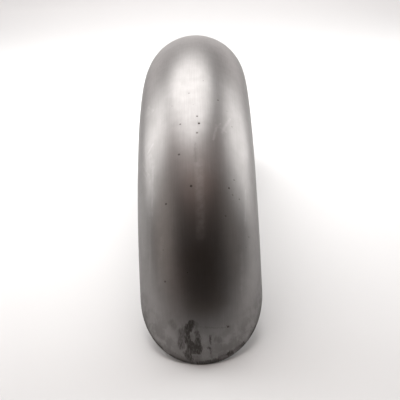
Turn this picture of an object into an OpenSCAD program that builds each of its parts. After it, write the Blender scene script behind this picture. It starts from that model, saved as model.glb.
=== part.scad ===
// Rear fender for a motorcycle: one full-round pressed steel sheet, standing on its two ends.
// The wheel's axis runs along X, the tail points to -Y, and Z is up from the floor it stands on.

/* [Crown] */
// Outer radius of the crown's middle line, from the wheel's axis
crown_r = 350; // [300:5:420]
// Width over the two skirts, which is also the diameter of the half-round crown
body_w = 150; // [120:2:180]
// Straight depth of each skirt, from the half-round down to the hem
skirt_h = 22; // [12:1:40]
// Thickness of the sheet
sheet_t = 2; // [1.2:0.1:3]

/* [Ends] */
// Angle about the wheel's axis from the top of the arch back to the tail's tip
tail_angle = 80; // [70:1:85]
// Lean of the tail's cut from square, which takes the hems back from the tip
tail_rake = 36; // [25:1:44]
// Radius that rounds the tail's cut into each hem
tail_corner_r = 60; // [20:5:70]
// Radius that rounds the front end's cut into each hem
front_corner_r = 20; // [8:1:35]

/* [Hidden] */
$fn = 144;
half_w = body_w / 2;
// The half-round's own centre line, and the hem's edge, both as radii about the wheel's axis
round_c = crown_r - half_w;
hem_r = round_c - skirt_h;
// Height above the wheel's axis of the floor, which the tail's tip and the front end both touch
floor_h = crown_r * cos(tail_angle);
// Slope of the tail's cut, and its distance from the wheel's axis
cut_slope = tail_angle + tail_rake - 90;
cut_h = crown_r * sin(tail_rake);
// How far the cutting shapes run past the sheet
over = 5;
bare_steel = [0.62, 0.60, 0.57];

// The inside or outside form of the press tool: a half-round of radius r on straight sides
module form(r, side_h) {
    intersection() {
        translate([round_c, 0]) circle(r = r);
        translate([round_c, -r]) square([r, 2 * r]);
    }
    translate([round_c - side_h, -r]) square([side_h, 2 * r]);
}

// Section through the sheet, with radius from the wheel's axis to the right
module section() {
    difference() {
        form(half_w, skirt_h - sheet_t / 2);
        form(half_w - sheet_t, skirt_h + over);
    }
    // each hem's edge is dressed round
    for (side = [-1, 1])
        translate([hem_r + sheet_t / 2, side * (half_w - sheet_t / 2)]) circle(d = sheet_t);
}

// What is trimmed off where an end's cut meets the hem: the cut lies along y = line_h, the sheet
// is above it and to the left, and the corner is left with a radius of corner_r
module corner_trim(line_h, corner_r) {
    reach = hem_r + corner_r;
    c = [-sqrt(pow(reach, 2) - pow(line_h + corner_r, 2)), line_h + corner_r];
    to_hem = -c / reach;
    corner_x = -sqrt(pow(hem_r, 2) - pow(line_h, 2));
    difference() {
        polygon([c, [c.x, line_h - over], [corner_x + over, line_h - over], c + (corner_r + over) * to_hem]);
        translate(c) circle(r = corner_r);
    }
}

// Side view of everything trimmed off the pressed arch, with the tail to the left
module trimmings() {
    // level with the floor at both ends
    translate([-crown_r - over, -over]) square([2 * (crown_r + over), floor_h + over]);
    mirror([1, 0]) corner_trim(floor_h, front_corner_r);
    // the tail's raked cut, from outside the tip to inside the hem
    rotate(cut_slope) {
        translate([-crown_r - over, 0]) square([crown_r + over, cut_h]);
        corner_trim(cut_h, tail_corner_r);
    }
}

// The whole fender: the section swept half a turn about the wheel's axis, then trimmed at both ends
module fender() {
    color(bare_steel)
        translate([0, 0, -floor_h]) rotate([90, 0, 90])
            difference() {
                rotate_extrude(angle = 180) section();
                translate([0, 0, -body_w]) linear_extrude(height = 2 * body_w) trimmings();
            }
}

fender();
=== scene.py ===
import math

import bmesh
import bpy
from mathutils import Matrix, Vector, noise


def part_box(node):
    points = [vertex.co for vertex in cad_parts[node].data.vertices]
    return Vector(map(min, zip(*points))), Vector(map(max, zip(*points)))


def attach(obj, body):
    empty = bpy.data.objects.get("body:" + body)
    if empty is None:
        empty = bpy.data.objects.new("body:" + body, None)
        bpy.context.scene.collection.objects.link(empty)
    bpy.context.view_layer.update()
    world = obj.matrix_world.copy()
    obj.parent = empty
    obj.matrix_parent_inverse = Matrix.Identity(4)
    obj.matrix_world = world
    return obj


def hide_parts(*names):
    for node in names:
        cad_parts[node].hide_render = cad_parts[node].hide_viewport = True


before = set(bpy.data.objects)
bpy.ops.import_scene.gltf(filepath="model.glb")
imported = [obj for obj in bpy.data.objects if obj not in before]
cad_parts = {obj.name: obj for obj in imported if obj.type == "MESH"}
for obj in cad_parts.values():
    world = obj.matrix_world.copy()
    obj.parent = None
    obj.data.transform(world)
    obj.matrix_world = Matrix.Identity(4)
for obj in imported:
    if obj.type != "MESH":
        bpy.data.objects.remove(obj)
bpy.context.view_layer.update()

# The wheel's axis: the whole arch is struck about it. It lies below the floor that the fender
# stands on, and the arch's height and half length give how far.
fender_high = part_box("fender")[1]
half_length = fender_high.y
arch_height = fender_high.z
crown_radius = (arch_height ** 2 + half_length ** 2) / (2 * arch_height)
wheel_axis = Vector((0, 0, arch_height - crown_radius))

# Camera: a short telephoto lens behind the tail and above it, looking down on the crown with a
# slight turn and roll, as a hand-held camera does. Its distances are from the wheel's axis.
look_down = math.radians(25.97)
turned_left = math.radians(1.334)
rolled = math.radians(2.525)
camera_away = 3.3388 * crown_radius
camera_aside = -0.0200 * crown_radius
camera_above = 0.2652 * crown_radius
camera_data = bpy.data.cameras.new("camera")
camera_data.sensor_width = 36
camera_data.lens = 65.22
camera = bpy.data.objects.new("camera", camera_data)
bpy.context.scene.collection.objects.link(camera)
facing = (
    Matrix.Rotation(math.pi / 2 - look_down, 4, "X")
    @ Matrix.Rotation(turned_left, 4, "Y")
    @ Matrix.Rotation(-rolled, 4, "Z")
)
stand_off = Matrix.Translation((camera_aside, camera_above, camera_away))
camera.matrix_world = Matrix.Translation(wheel_axis) @ facing @ stand_off
bpy.context.scene.camera = camera
bpy.context.scene.view_settings.view_transform = "Standard"

# Studio: a pale floor that sweeps up into a wall behind the front end, and a dim warm room on the
# camera's side, which the steel mirrors as the long dark patch below its highlight.
floor_half_width = 4.0
floor_near = -3.0
wall_at = 2.3
wall_height = 1.25
sweep_radius = 0.5
sweep_steps = 16
paper_colour = (0.69, 0.69, 0.69, 1)
room_colour = (0.005, 0.0032, 0.0025, 1)

sweep_line = [(floor_near, 0.0)]
for step in range(sweep_steps + 1):
    turn = math.pi / 2 * step / sweep_steps
    sweep_y = wall_at - sweep_radius + sweep_radius * math.sin(turn)
    sweep_line.append((sweep_y, sweep_radius * (1 - math.cos(turn))))
sweep_line.append((wall_at, wall_height))
sweep_points = [(x, y, z) for y, z in sweep_line for x in (-floor_half_width, floor_half_width)]
sweep_faces = [(2 * i, 2 * i + 1, 2 * i + 3, 2 * i + 2) for i in range(len(sweep_line) - 1)]
sweep_mesh = bpy.data.meshes.new("floor_sweep")
sweep_mesh.from_pydata(sweep_points, [], sweep_faces)
sweep_mesh.shade_smooth()
floor_sweep = bpy.data.objects.new("floor_sweep", sweep_mesh)
bpy.context.scene.collection.objects.link(floor_sweep)
paper = bpy.data.materials.new("studio_paper")
paper.use_nodes = True
paper_shader = paper.node_tree.nodes["Principled BSDF"]
paper_shader.inputs["Base Color"].default_value = paper_colour
paper_shader.inputs["Roughness"].default_value = 0.9
paper_shader.inputs["Specular IOR Level"].default_value = 0.1
sweep_mesh.materials.append(paper)

room = bpy.data.worlds.new("room")
room.use_nodes = True
room.node_tree.nodes["Background"].inputs["Color"].default_value = room_colour
bpy.context.scene.world = room

# Soft lights: a large softbox hangs over the arch, one stands on each side of the front end, and
# dimmer boards fill in the sides, the wall behind and the ceiling. The camera sees none of them.
# Each has its middle, its width and height in metres, and its brightness.
lit_point = Vector((0, -0.12, 0.15))
neutral_light = (1.0, 0.995, 0.99)
wall_light = (1.0, 0.94, 0.93)
board_light = (1.0, 0.89, 0.82)
ceiling_light = (1.0, 0.76, 0.69)


def soft_light(name, middle, width, height, brightness, colour, level=False):
    """A soft panel of this brightness per area: an oval one hung level, or an oblong one turned to
    face the fender."""
    data = bpy.data.lights.new(name, "AREA")
    data.shape = "ELLIPSE" if level else "RECTANGLE"
    data.size = width
    data.size_y = height
    oval_share = math.pi / 4 if level else 1
    data.energy = brightness * math.pi * width * height * oval_share
    data.color = colour
    light = bpy.data.objects.new(name, data)
    bpy.context.scene.collection.objects.link(light)
    light.location = middle
    if not level:
        light.rotation_euler = (lit_point - Vector(middle)).to_track_quat("-Z", "Y").to_euler()
    light.visible_camera = False


def from_side(azimuth, elevation, distance):
    """A place at this distance from the fender, azimuth 0 being straight behind the tail."""
    turn = math.radians(azimuth)
    rise = math.radians(elevation)
    flat = distance * math.cos(rise)
    return lit_point + Vector((flat * math.sin(turn), -flat * math.cos(turn), distance * math.sin(rise)))


soft_light("overhead_softbox", (-0.11, 0.60, 1.45), 1.44, 1.74, 4.87, neutral_light, level=True)
soft_light("left_softbox", from_side(-118, 23, 1.3), 0.68, 1.00, 4.2, neutral_light)
soft_light("right_softbox", from_side(120, 18, 1.3), 0.70, 0.98, 4.15, neutral_light)
soft_light("left_wide_board", from_side(-97, 28, 1.4), 0.40, 0.80, 0.75, neutral_light)
soft_light("right_wide_board", from_side(97, 28, 1.4), 0.40, 0.80, 1.50, neutral_light)
soft_light("left_high_board", from_side(-128, 48, 1.4), 0.95, 0.40, 1.75, neutral_light)
soft_light("right_high_board", from_side(124, 44, 1.4), 0.80, 0.40, 0.77, neutral_light)
soft_light("wall_low_board", from_side(180, 10, 2.2), 3.4, 0.8, 1.42, wall_light)
soft_light("wall_high_board", from_side(180, 32, 2.0), 3.0, 0.8, 0.55, wall_light)
soft_light("left_board", from_side(-72, 20, 1.5), 1.0, 1.1, 0.63, board_light)
soft_light("right_board", from_side(72, 20, 1.5), 1.0, 1.1, 0.23, board_light)
soft_light("left_front_board", from_side(-42, 8, 1.5), 0.8, 0.5, 0.20, ceiling_light)
soft_light("ceiling_board", from_side(0, 68, 1.4), 1.2, 0.6, 0.77, ceiling_light)
soft_light("left_ceiling_board", from_side(-80, 55, 1.4), 0.8, 0.6, 0.45, ceiling_light)
soft_light("right_ceiling_board", from_side(80, 55, 1.4), 0.8, 0.6, 0.35, ceiling_light)

# The fender: one bare steel sheet, pressed to a half-round crown with straight skirts along an
# arc about the wheel's axis. Its front end is cut level, its tail is cut back to the hems, and
# all edges are dressed smooth by hand.
sheet = 0.002
edge_round = 0.0005
edge_support = 0.0012
round_radius = fender_high.x
round_centre = crown_radius - round_radius
skirt = 0.022
hem_radius = round_centre - skirt
tail_rake = math.radians(36)
tail_angle = math.asin(half_length / crown_radius)
tail_corner = 0.060
front_corner = 0.020
round_steps = 96
skirt_steps = 4
hem_steps = 6
edge_steps = 4
arch_steps = 320
press_wave = 0.00009
press_wave_length = 0.055
press_wave_sink = 1.4
press_wave_fade = 0.02
ripple_share = 0.35
ripple_rate = 2.7


def section_loop(inset):
    """Points round the sheet's section as (radius, aside, normal out, normal aside, across, inside),
    drawn in from its faces by inset: the outside face from left to right, then the inside face."""
    drop = skirt - sheet / 2
    edge = sheet / 2 - inset
    loop = []
    for inside, way, face in ((0.0, 1, round_radius - inset), (1.0, -1, round_radius - sheet + inset)):
        quarter = round_radius * math.pi / 2
        for k in range(skirt_steps):
            down = drop * (1 - k / skirt_steps)
            loop.append((round_centre - down, -way * face, 0.0, -way, -way * (quarter + down), inside))
        for k in range(round_steps + 1):
            turn = math.pi * (k / round_steps - 0.5) * way
            out, aside = math.cos(turn), math.sin(turn)
            loop.append((round_centre + face * out, face * aside, out, aside, round_radius * turn, inside))
        for k in range(1, skirt_steps + 1):
            down = drop * k / skirt_steps
            loop.append((round_centre - down, way * face, 0.0, way, way * (quarter + down), inside))
        for k in range(1, hem_steps):
            turn = math.pi * k / hem_steps
            aside = way * (round_radius - sheet / 2) + edge * math.cos(turn)
            radius = hem_radius + sheet / 2 - edge * math.sin(turn)
            loop.append((radius, aside, 0.0, way, way * (quarter + drop), 0.5))
    return loop


def end_angle(radius, cut_height, cut_slope, corner):
    """Angle from the top of the arch to an end's edge, at this distance from the wheel's axis.
    The cut runs cut_height from the axis and is rounded into the hem with radius corner."""
    reach = hem_radius + corner
    straight_from = math.sqrt(reach ** 2 - (cut_height + corner) ** 2 + cut_height ** 2)
    if radius >= straight_from:
        return cut_slope + math.acos(cut_height / radius)
    nearness = (radius ** 2 + reach ** 2 - corner ** 2) / (2 * radius * reach)
    return cut_slope + math.acos((cut_height + corner) / reach) + math.acos(min(1.0, nearness))


def tail_end(radius):
    tail_cut = crown_radius * math.sin(tail_rake)
    return end_angle(radius, tail_cut, tail_angle + tail_rake - math.pi / 2, tail_corner)


def front_end(radius):
    return -end_angle(radius, -wheel_axis.z, 0.0, front_corner)


# each ring of the arch: its share of the way from front to tail, how far it stops short of the
# edge there, and how far the edge's round draws it in
edge_rings = []
for k in range(edge_steps + 1):
    turn = math.pi / 2 * k / edge_steps
    edge_rings.append((edge_round * (1 - math.cos(turn)), edge_round * (1 - math.sin(turn))))
rings = [(0.0, short, inset) for short, inset in edge_rings]
rings += [(k / arch_steps, edge_support, 0.0) for k in range(arch_steps + 1)]
rings += [(1.0, short, inset) for short, inset in reversed(edge_rings)]

points = []
marks = []
for share, short, inset in rings:
    for radius, aside, out, sideways, across, inside in section_loop(inset):
        start = front_end(radius) + short / radius
        end = tail_end(radius) - short / radius
        angle = start + (end - start) * share
        to_front = (angle - front_end(radius)) * radius
        to_tail = (tail_end(radius) - angle) * radius
        to_end = min(to_front, to_tail)
        to_edge = min(to_end, radius - hem_radius)
        around = Vector((aside, -radius * math.sin(angle), radius * math.cos(angle))) / press_wave_length
        wave = noise.noise(around) + ripple_share * noise.noise(around * ripple_rate)
        wave = press_wave * (wave - press_wave_sink) * min(1.0, to_edge / press_wave_fade)
        radius += wave * out
        aside += wave * sideways
        points.append((aside, -radius * math.sin(angle), wheel_axis.z + radius * math.cos(angle)))
        marks.append((crown_radius * (tail_angle - angle), across, inside, to_edge, to_tail))

loop_length = len(section_loop(0.0))
face_length = 2 * skirt_steps + round_steps + 1
faces = []
for ring in range(len(rings) - 1):
    for k in range(loop_length):
        a = ring * loop_length + k
        b = ring * loop_length + (k + 1) % loop_length
        faces.append((a, b, b + loop_length, a + loop_length))
for first in (0, (len(rings) - 1) * loop_length):
    inner = first + face_length + hem_steps - 1
    last = first + loop_length
    for k in range(face_length - 1):
        opposite = inner + face_length - 1 - k
        faces.append((first + k, first + k + 1, opposite - 1, opposite))
    faces.append(tuple(range(first + face_length - 1, inner + 1)))
    faces.append((*range(inner + face_length - 1, last), first))

fender_mesh = bpy.data.meshes.new("fender_sheet")
fender_mesh.from_pydata(points, [], faces)
sheet_map = fender_mesh.uv_layers.new(name="sheet")
inside_face = fender_mesh.attributes.new("inside_face", "FLOAT", "POINT")
from_edge = fender_mesh.attributes.new("from_edge", "FLOAT", "POINT")
from_tail = fender_mesh.attributes.new("from_tail", "FLOAT", "POINT")
for corner in fender_mesh.loops:
    sheet_map.data[corner.index].uv = marks[corner.vertex_index][:2]
for number, mark in enumerate(marks):
    inside_face.data[number].value = mark[2]
    from_edge.data[number].value = mark[3]
    from_tail.data[number].value = mark[4]
solid = bmesh.new()
solid.from_mesh(fender_mesh)
bmesh.ops.recalc_face_normals(solid, faces=solid.faces)
solid.to_mesh(fender_mesh)
solid.free()
fender_mesh.shade_smooth()
fender = bpy.data.objects.new("fender_sheet", fender_mesh)
bpy.context.scene.collection.objects.link(fender)
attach(fender, "root")
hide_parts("fender")


# Bare steel finish of the fender: satin from the press and the grinder, with cloudy tarnish, fine
# lengthwise grain, rub marks, a few rust pits and dark oil stains that have run down to the tail.
# Also painted on: a brown, darker tint along the middle of the crown for the warm dim room it
# mirrors, and painted shade that deepens to the tail's cut for the shaded floor the tail mirrors.
light_steel = (0.290, 0.279, 0.274, 1)
tarnished_steel = (0.214, 0.205, 0.200, 1)
inside_steel = (0.155, 0.143, 0.132, 1)
dressed_edge = (0.36, 0.35, 0.34, 1)
rubbed_steel = (0.36, 0.35, 0.34, 1)
# a brown, darker colour painted along the crown: painted reflection of the warm dim room
warm_reflection_brown = (0.150, 0.112, 0.088, 1)
# dark colour of the oil stains, also used for the painted shade at the tail's cut
stain_and_shade_dark = (0.052, 0.046, 0.042, 1)
pit_rust = (0.045, 0.034, 0.028, 1)
grazing_tint = (0.66, 0.66, 0.66, 1)
satin_roughness = 0.337

# How many clouds of each kind there are to the metre: on the body, or along and across the sheet.
scratched_parts_per_metre = 9.0
tarnish_per_metre = 16.0
rim_shade_per_metre = 60.0
specks_per_metre = 75.0
mottle_per_metre = 85.0
film_and_shade_per_metre = 90.0
scuffs_per_metre = 160.0
satin_per_metre = 1300.0
grain_per_metre = (28, 620, 0)
oil_runs_per_metre = (110, 290, 0)
hairlines_per_metre = (9, 520, 1)
hairline_slant = math.radians(17)

# Heights in the finish, in millimetres.
satin_height = 0.0022
grain_height = 0.010
mottle_height = 0.010
hairline_height = -0.004
pit_height = -0.12

# Marks on the outside, in millimetres: along the crown from the tail's tip and across from the
# middle, at both of their ends, then half width, soft edge and strength. A rust pit has one place,
# a radius and a strength.
pit_soft_edge = 1.1
oil_stains = (
    (51, -10.5, 44, -13.5, 2.4, 2.4, 0.95),
    (47, -14.5, 42, -16.5, 2.4, 2.6, 0.88),
    (42, -16.2, 29, -16.0, 2.2, 2.4, 0.88),
    (30, -15.5, 22, -12.5, 2.8, 2.6, 0.95),
    (40, -22.5, 22, -24.5, 2.4, 4.4, 0.60),
    (26, -24.2, 23, -24.6, 1.2, 3.0, 0.72),
    (24, -11.5, 19, -5.0, 4.2, 2.4, 0.98),
    (19, -13.0, 17, -5.0, 2.2, 2.6, 0.84),
    (50, -5.6, 41, -5.5, 0.8, 2.4, 0.34),
    (40, -5.0, 29, -3.8, 1.2, 2.4, 0.66),
    (31, -4.4, 20, -4.4, 2.2, 2.4, 0.88),
    (15, -15.0, 15, -2.5, 0.8, 1.6, 0.78),
    (19, -14.5, 13, -16.0, 2.2, 2.6, 0.72),
    (14, -17.5, 8, -14.5, 3.2, 2.8, 0.80),
    (8, -14.0, 3, -15.0, 1.6, 2.6, 0.74),
    (10.5, -13.0, 10, -4.0, 0.5, 1.8, 0.50),
    (5, -9.0, 4, -2.0, 0.8, 2.0, 0.56),
    (36, -12.0, 30, -9.5, 0.5, 2.4, 0.42),
    (30, -13.0, 6, -8.0, 5.0, 9.0, 0.34),
    (46, -20.0, 38, -20.5, 0.8, 3.6, 0.34),
    (50, -35.0, 46, -32.0, 2.0, 5.0, 0.30),
    (34.4, 9.8, 26, 9.7, 0.5, 1.6, 0.70),
    (21, 7.0, 20, 9.4, 0.7, 1.5, 0.74),
    (20, 10.0, 14, 10.0, 0.5, 1.8, 0.62),
    (14, 10.0, 6, 11.0, 0.4, 2.2, 0.44),
    (30, 17.0, 28, 20.0, 2.0, 4.4, 0.38),
    (22, 21.0, 20, 23.0, 0.8, 3.4, 0.30),
    (24, 9.0, 12, 24.0, 2.0, 6.0, 0.22),
    (43.5, 31.0, 42.5, 34.0, 0.6, 2.6, 0.34),
    (46.5, -2.0, 42.5, 28.0, 0.1, 1.1, 0.22),
    (7.0, 20.0, 9, 30.0, 1.4, 2.6, 0.62),
    (8.8, 30.5, 10.0, 35.0, 2.0, 2.2, 0.92),
    (11, 35.0, 14, 45.0, 1.2, 2.6, 0.60),
    (14.5, 46.0, 17.0, 52.0, 1.4, 2.4, 0.74),
    (2.0, -6.0, 2.0, 4.0, 1.4, 3.0, 0.80),
    (3.0, 6.0, 4.0, 19.0, 1.6, 2.8, 0.82),
    (7, -20.0, 14, -46.0, 0.8, 4.4, 0.46),
    (16.0, -26.0, 5.0, 24.0, 5.0, 14.0, 0.22),
    (264, 1.6, 241, 1.6, 0.4, 2.4, 0.20),
)
# Brown, darker patches along the middle of the crown: a painted tint for the warm dim room that the crown
# mirrors there.
warm_reflection_patches = (
    (125, 3.0, 80, 6.0, 8.0, 26.0, 0.42),
    (205, 6.0, 130, 5.0, 10.0, 24.0, 0.18),
)
rust_pits = (
    (344, -4.6, 0.35, 0.45),
    (304, 4.8, 0.50, 0.75),
    (293, 6.9, 0.70, 1.00),
    (294, -16.1, 0.55, 0.60),
    (279, 4.1, 0.60, 0.60),
    (251, -18.2, 0.75, 0.75),
    (209, -4.8, 0.90, 0.85),
    (208, 41.0, 0.75, 0.75),
    (220, 48.9, 0.60, 0.45),
    (200, 45.5, 0.45, 0.50),
    (196, 55.4, 0.40, 0.60),
    (298, 50.5, 0.40, 0.45),
    (336, 32.1, 0.60, 0.60),
    (191, -36.3, 0.70, 0.80),
    (99, -41.3, 0.60, 0.60),
    (173, 34.5, 0.55, 0.50),
    (149, 69.3, 0.45, 0.50),
    (43, 31.6, 0.50, 0.70),
)
rub_marks = (
    (287, 27.7, 271, 23.2, 0.5, 1.6, 0.55),
    (310, 48.1, 284, 35.3, 0.6, 2.4, 0.50),
    (293, 27.9, 286, 40.8, 0.5, 2.0, 0.35),
    (354, -67.5, 336, -56.5, 0.6, 2.4, 0.45),
    (278, -56.2, 270, -65.1, 0.5, 2.4, 0.55),
    (262, -58.1, 253, -58.1, 0.6, 1.6, 0.50),
    (244, -56.0, 181, -57.3, 0.5, 2.4, 0.45),
    (284, -72.2, 234, -66.0, 0.5, 2.0, 0.30),
    (211, 67.8, 164, 64.1, 0.5, 2.2, 0.45),
    (238, 5.4, 150, 4.2, 1.6, 6.0, 0.55),
    (262, -79.0, 236, -63.0, 0.4, 1.6, 0.40),
    (252, -80.0, 230, -66.0, 0.3, 1.4, 0.32),
    (344, -74.0, 338, -60.0, 2.0, 6.0, 0.30),
    (297, 34.0, 287, 27.0, 0.4, 1.6, 0.40),
    (303, 45.0, 290, 37.5, 0.4, 1.8, 0.36),
    (188, -62.0, 110, -66.0, 0.5, 3.0, 0.26),
    (150, -44.0, 96, -50.0, 1.0, 4.0, 0.28),
    (128, 56.0, 86, 52.0, 0.8, 4.0, 0.28),
    (262, -61.0, 246, -56.0, 2.0, 4.4, 0.38),
    (226, -60.0, 204, -54.0, 0.8, 3.4, 0.30),
)


def add_node(tree, kind, inputs=(), **settings):
    """A node in a tree, with its settings, and its inputs set to values or linked to outputs."""
    made = tree.nodes.new(kind)
    for name, value in settings.items():
        setattr(made, name, value)
    for socket, value in inputs:
        if isinstance(value, bpy.types.NodeSocket):
            tree.links.new(value, made.inputs[socket])
        else:
            made.inputs[socket].default_value = value
    return made


def calculate(tree, operation, *values):
    return add_node(tree, "ShaderNodeMath", enumerate(values), operation=operation).outputs[0]


def vectors(tree, operation, *values, result=0):
    return add_node(tree, "ShaderNodeVectorMath", enumerate(values), operation=operation).outputs[result]


def spread(tree, value, low, high, at_low, at_high):
    """The value's way from low to high, eased, as a way from at_low to at_high."""
    inputs = (
        ("Value", value),
        ("From Min", low),
        ("From Max", high),
        ("To Min", at_low),
        ("To Max", at_high),
    )
    return add_node(tree, "ShaderNodeMapRange", inputs, interpolation_type="SMOOTHSTEP").outputs[0]


def clouds(tree, place, scale, detail, output="Fac"):
    inputs = (("Vector", place), ("Scale", scale), ("Detail", detail), ("Roughness", 0.58))
    return add_node(tree, "ShaderNodeTexNoise", inputs).outputs[output]


def mixed(tree, share, colour_a, colour_b):
    inputs = ((0, share), (6, colour_a), (7, colour_b))
    return add_node(tree, "ShaderNodeMix", inputs, data_type="RGBA").outputs[2]


# One mark as a group: a soft-edged stroke between two places on the sheet.
stroke = bpy.data.node_groups.new("stroke", "ShaderNodeTree")
for name in ("Place", "From", "To"):
    stroke.interface.new_socket(name, in_out="INPUT", socket_type="NodeSocketVector")
for name in ("Half Width", "Soft Edge", "Strength"):
    stroke.interface.new_socket(name, in_out="INPUT", socket_type="NodeSocketFloat")
stroke.interface.new_socket("Mask", in_out="OUTPUT", socket_type="NodeSocketFloat")
given = stroke.nodes.new("NodeGroupInput").outputs
run = vectors(stroke, "SUBTRACT", given["To"], given["From"])
offset = vectors(stroke, "SUBTRACT", given["Place"], given["From"])
run_square = vectors(stroke, "DOT_PRODUCT", run, run, result="Value")
share = calculate(stroke, "DIVIDE", vectors(stroke, "DOT_PRODUCT", offset, run, result="Value"), run_square)
share = calculate(stroke, "MAXIMUM", calculate(stroke, "MINIMUM", share, 1.0), 0.0)
nearest = add_node(stroke, "ShaderNodeVectorMath", ((0, run), ("Scale", share)), operation="SCALE").outputs[0]
away = vectors(stroke, "LENGTH", vectors(stroke, "SUBTRACT", offset, nearest), result="Value")
outer = calculate(stroke, "ADD", given["Half Width"], given["Soft Edge"])
mask = spread(stroke, away, given["Half Width"], outer, 1.0, 0.0)
mask = calculate(stroke, "MULTIPLY", mask, given["Strength"])
add_node(stroke, "NodeGroupOutput", (("Mask", mask),))

steel = bpy.data.materials.new("bare_steel")
steel.use_nodes = True
tree = steel.node_tree
steel_shader = tree.nodes["Principled BSDF"]
body_place = add_node(tree, "ShaderNodeTexCoord").outputs["Object"]
sheet_place = add_node(tree, "ShaderNodeUVMap", uv_map="sheet").outputs["UV"]
in_millimetres = vectors(tree, "MULTIPLY", sheet_place, (1000, 1000, 0))
inside = add_node(tree, "ShaderNodeAttribute", attribute_name="inside_face").outputs["Fac"]
outside = calculate(tree, "SUBTRACT", 1.0, inside)
near_edge = add_node(tree, "ShaderNodeAttribute", attribute_name="from_edge").outputs["Fac"]
near_tail = add_node(tree, "ShaderNodeAttribute", attribute_name="from_tail").outputs["Fac"]


def wandering(place, scale, reach):
    """The place on the sheet in millimetres, pushed about by up to reach to make uneven outlines."""
    push = vectors(tree, "SUBTRACT", clouds(tree, place, scale, 4.0, "Color"), (0.5, 0.5, 0.5))
    return vectors(tree, "MULTIPLY_ADD", push, (2 * reach, 2 * reach, 0), in_millimetres)


def all_marks(place, marks):
    """The strongest of these marks at each place, on the outside only."""
    strongest = 0.0
    for along_a, across_a, along_b, across_b, half_width, soft_edge, strength in marks:
        inputs = (
            ("Place", place),
            ("From", (along_a, across_a, 0)),
            ("To", (along_b, across_b, 0)),
            ("Half Width", half_width),
            ("Soft Edge", soft_edge),
            ("Strength", strength),
        )
        mark = add_node(tree, "ShaderNodeGroup", inputs, node_tree=stroke).outputs["Mask"]
        strongest = calculate(tree, "MAXIMUM", strongest, mark)
    return calculate(tree, "MULTIPLY", strongest, outside)


# Oil: the runs down to the tail and a cloudy film near the tail. Painted shade: a darkening that
# deepens towards the tail's cut, darkest in a thin rim on the cut itself, for the shaded floor that
# the tail mirrors. Painted reflection: the brown, darker tint along the crown for the warm dim room.
oil_runs = vectors(tree, "MULTIPLY", sheet_place, oil_runs_per_metre)
stains_and_tail_shade = all_marks(wandering(oil_runs, 1.8, 3.6), oil_stains)
oil_breakup = spread(tree, clouds(tree, oil_runs, 2.2, 4.0), 0.30, 0.62, 0.66, 1.10)
stains_and_tail_shade = calculate(tree, "MULTIPLY", stains_and_tail_shade, oil_breakup)
wide_film = spread(tree, near_tail, 0.004, 0.060, 0.38, 0.0)
# painted shade that deepens towards the tail's cut, for the shaded floor the tail mirrors
close_tail_shade = spread(tree, near_tail, 0.003, 0.018, 0.55, 0.0)
tail_film_and_shade = spread(tree, clouds(tree, body_place, film_and_shade_per_metre, 5.0), 0.36, 0.60, 0.05, 1.0)
tail_film_and_shade = calculate(tree, "MULTIPLY", tail_film_and_shade, calculate(tree, "MAXIMUM", wide_film, close_tail_shade))
# a thin dark rim on the tail's cut: painted shade for the contact shadow that the cut mirrors
cut_rim_shade = spread(tree, clouds(tree, body_place, rim_shade_per_metre, 3.0), 0.36, 0.60, 0.35, 0.92)
cut_rim_shade = calculate(tree, "MULTIPLY", cut_rim_shade, spread(tree, near_tail, 0.0010, 0.0075, 1.0, 0.0))
tail_film_and_shade = calculate(tree, "MULTIPLY", calculate(tree, "MAXIMUM", tail_film_and_shade, cut_rim_shade), outside)
stains_and_tail_shade = calculate(tree, "MINIMUM", calculate(tree, "MAXIMUM", stains_and_tail_shade, tail_film_and_shade), 0.92)
# where the painted warm reflection tint lies along the crown
warm_reflection_tint = all_marks(wandering(body_place, 30.0, 6.0), warm_reflection_patches)

# Rust pits where they lie on the sheet, and small dark specks all over it.
pits = []
for along, across, radius, strength in rust_pits:
    pits.append((along, across, along, across, radius, pit_soft_edge, strength))
pitted = all_marks(wandering(body_place, 900.0, 0.35), pits)
specks = add_node(tree, "ShaderNodeTexVoronoi", (("Vector", body_place), ("Scale", specks_per_metre)))
speck_chance = add_node(tree, "ShaderNodeSeparateColor", ((0, specks.outputs["Color"]),)).outputs[0]
speck = spread(tree, specks.outputs["Distance"], 0.025, 0.070, 0.62, 0.0)
speck = calculate(tree, "MULTIPLY", speck, calculate(tree, "LESS_THAN", speck_chance, 0.18))
pitted = calculate(tree, "MAXIMUM", pitted, speck)

# The steel's own clouds and grain, then the rub marks and patches of slanting hairline scratches.
tarnish = spread(tree, clouds(tree, body_place, tarnish_per_metre, 4.0), 0.30, 0.70, 0.0, 1.0)
mottle = spread(tree, clouds(tree, body_place, mottle_per_metre, 5.0), 0.28, 0.72, 0.0, 1.0)
grain = clouds(tree, vectors(tree, "MULTIPLY", sheet_place, grain_per_metre), 1.0, 5.0)
satin = clouds(tree, body_place, satin_per_metre, 3.0)
rub_breakup = spread(tree, clouds(tree, body_place, scuffs_per_metre, 4.0), 0.32, 0.66, 0.3, 1.0)
rubbed = calculate(tree, "MULTIPLY", all_marks(wandering(body_place, 45.0, 2.2), rub_marks), rub_breakup)
slanted = (
    ("Vector", sheet_place),
    ("Rotation", (0, 0, hairline_slant)),
    ("Scale", hairlines_per_metre),
)
hairline_place = add_node(tree, "ShaderNodeMapping", slanted).outputs[0]
hairlines = spread(tree, clouds(tree, hairline_place, 1.0, 2.0), 0.66, 0.74, 0.0, 1.0)
scratched_parts = spread(tree, clouds(tree, body_place, scratched_parts_per_metre, 2.0), 0.48, 0.62, 0.0, 1.0)
hairlines = calculate(tree, "MULTIPLY", hairlines, scratched_parts)

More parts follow.
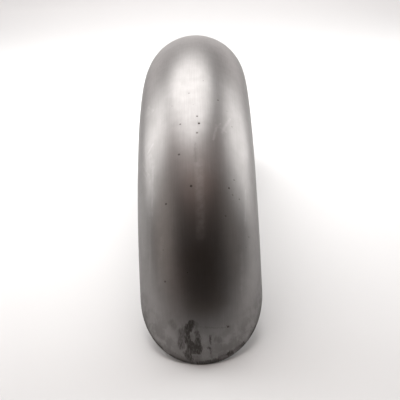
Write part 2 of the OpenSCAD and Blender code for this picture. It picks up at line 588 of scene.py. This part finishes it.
cloudy = calculate(tree, "MULTIPLY_ADD", tarnish, 0.20, calculate(tree, "MULTIPLY", mottle, 0.18))
cloudy = calculate(tree, "MULTIPLY_ADD", grain, 0.70, cloudy)
colour = mixed(tree, cloudy, light_steel, tarnished_steel)
# the painted warm reflection tint along the crown
colour = mixed(tree, warm_reflection_tint, colour, warm_reflection_brown)
colour = mixed(tree, calculate(tree, "MULTIPLY", hairlines, 0.35), colour, rubbed_steel)
colour = mixed(tree, rubbed, colour, rubbed_steel)
inside_share = calculate(tree, "MULTIPLY", inside, calculate(tree, "MULTIPLY_ADD", mottle, 0.35, 0.6))
colour = mixed(tree, inside_share, colour, inside_steel)
colour = mixed(tree, spread(tree, near_edge, 0.0004, 0.0016, 0.55, 0.0), colour, dressed_edge)
# the oil stains, and the painted shade at the tail's cut, in the stains' dark colour
colour = mixed(tree, stains_and_tail_shade, colour, stain_and_shade_dark)
colour = mixed(tree, pitted, colour, pit_rust)

roughness = calculate(tree, "MULTIPLY_ADD", tarnish, 0.035, satin_roughness)
roughness = calculate(tree, "MULTIPLY_ADD", mottle, 0.025, roughness)
roughness = calculate(tree, "MULTIPLY_ADD", grain, 0.05, roughness)
roughness = calculate(tree, "MULTIPLY_ADD", rubbed, 0.10, roughness)
roughness = calculate(tree, "MULTIPLY_ADD", inside, 0.13, roughness)
roughness = calculate(tree, "MULTIPLY_ADD", stains_and_tail_shade, 0.10, roughness)
roughness = calculate(tree, "MULTIPLY_ADD", pitted, 0.35, roughness)

height = calculate(tree, "MULTIPLY", satin, satin_height)
height = calculate(tree, "MULTIPLY_ADD", grain, grain_height, height)
height = calculate(tree, "MULTIPLY_ADD", mottle, mottle_height, height)
height = calculate(tree, "MULTIPLY_ADD", hairlines, hairline_height, height)
height = calculate(tree, "MULTIPLY_ADD", pitted, pit_height, height)
relief = add_node(tree, "ShaderNodeBump", (("Height", height), ("Distance", 0.001), ("Strength", 1.0)))

tree.links.new(colour, steel_shader.inputs["Base Color"])
tree.links.new(roughness, steel_shader.inputs["Roughness"])
tree.links.new(relief.outputs["Normal"], steel_shader.inputs["Normal"])
steel_shader.inputs["Metallic"].default_value = 1
steel_shader.inputs["Specular Tint"].default_value = grazing_tint
fender_mesh.materials.append(steel)
